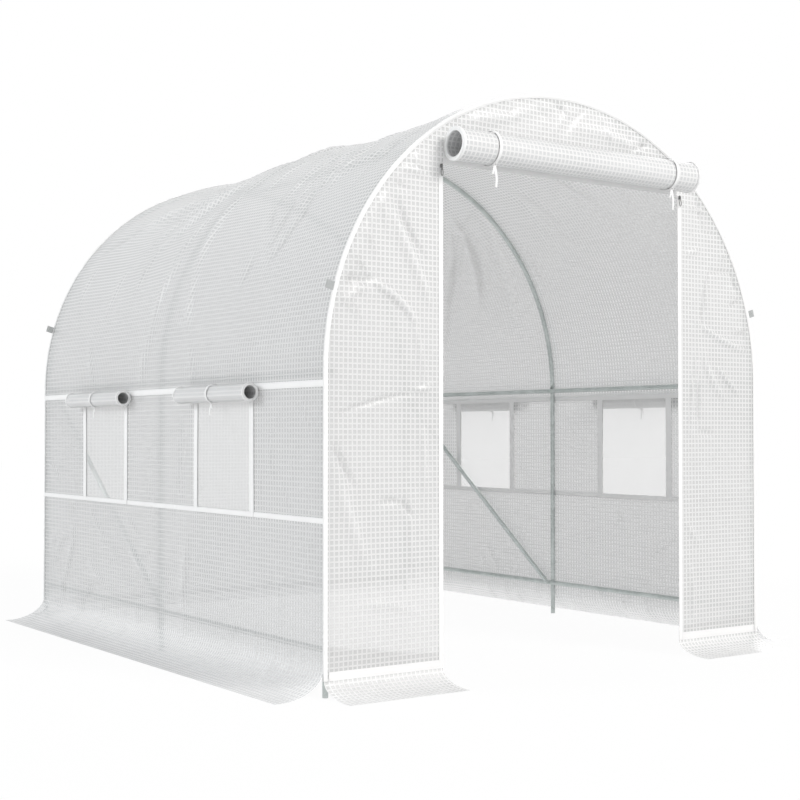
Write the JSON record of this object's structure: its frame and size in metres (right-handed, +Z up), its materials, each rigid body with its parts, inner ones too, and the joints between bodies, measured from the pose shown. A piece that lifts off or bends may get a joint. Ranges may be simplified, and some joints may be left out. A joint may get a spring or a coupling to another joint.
{
  "type": "walk-in polytunnel greenhouse",
  "caption": "Arched walk-in garden polytunnel: galvanised tube hoops under a translucent reinforced sheet, door and side windows rolled up.",
  "frame": {"origin": "on the ground, at the centre of the tunnel", "axes": "+Z up, +Y from the door towards the rear wall, +X towards the right as seen from the door"},
  "size_m": [2.356, 2.7, 2.0299],
  "materials": {
    "galvanised_tube": "galvanised, satin",
    "cover_sheet": "translucent sheet with a white reinforcing grid",
    "rolled_sheet": "the same sheet rolled up, nearly opaque",
    "white_tape": "white sewn tape",
    "insect_mesh": "fine white mesh",
    "grey_webbing": "woven webbing",
    "zip_metal": "cast zip slider"
  },
  "bodies": {
    "root": {"door_head_band": "white_tape", "door_hems": "white_tape", "door_roll": "rolled_sheet", "door_roll_ties": "white_tape", "end_hem_strips": "white_tape", "front_arch": "galvanised_tube", "front_arch_panel": "cover_sheet", "front_left_panel": "cover_sheet", "front_left_skirt": "cover_sheet", "front_right_panel": "cover_sheet", "front_right_skirt": "cover_sheet", "front_seam_band": "white_tape", "left_brace": "galvanised_tube", "left_lower_band": "white_tape", "left_lower_rail": "galvanised_tube", "left_posts": "galvanised_tube", "left_skirt": "cover_sheet", "left_upper_band": "white_tape", "left_upper_rail": "galvanised_tube", "left_wall": "cover_sheet", "left_window_frames": "white_tape", "left_window_rolls": "rolled_sheet", "left_window_screens": "insect_mesh", "middle_arch": "galvanised_tube", "rear_arch": "galvanised_tube", "rear_seam_band": "white_tape", "rear_skirt": "cover_sheet", "rear_wall": "cover_sheet", "ridge_rail": "galvanised_tube", "right_brace": "galvanised_tube", "right_lower_band": "white_tape", "right_lower_rail": "galvanised_tube", "right_posts": "galvanised_tube", "right_skirt": "cover_sheet", "right_upper_band": "white_tape", "right_upper_rail": "galvanised_tube", "right_wall": "cover_sheet", "right_window_frames": "white_tape", "right_window_rolls": "rolled_sheet", "right_window_screens": "insect_mesh", "roof_cover": "cover_sheet", "webbing_tabs": "grey_webbing", "window_ties": "white_tape", "zip_sliders": "zip_metal"}
  },
  "joints": []
}
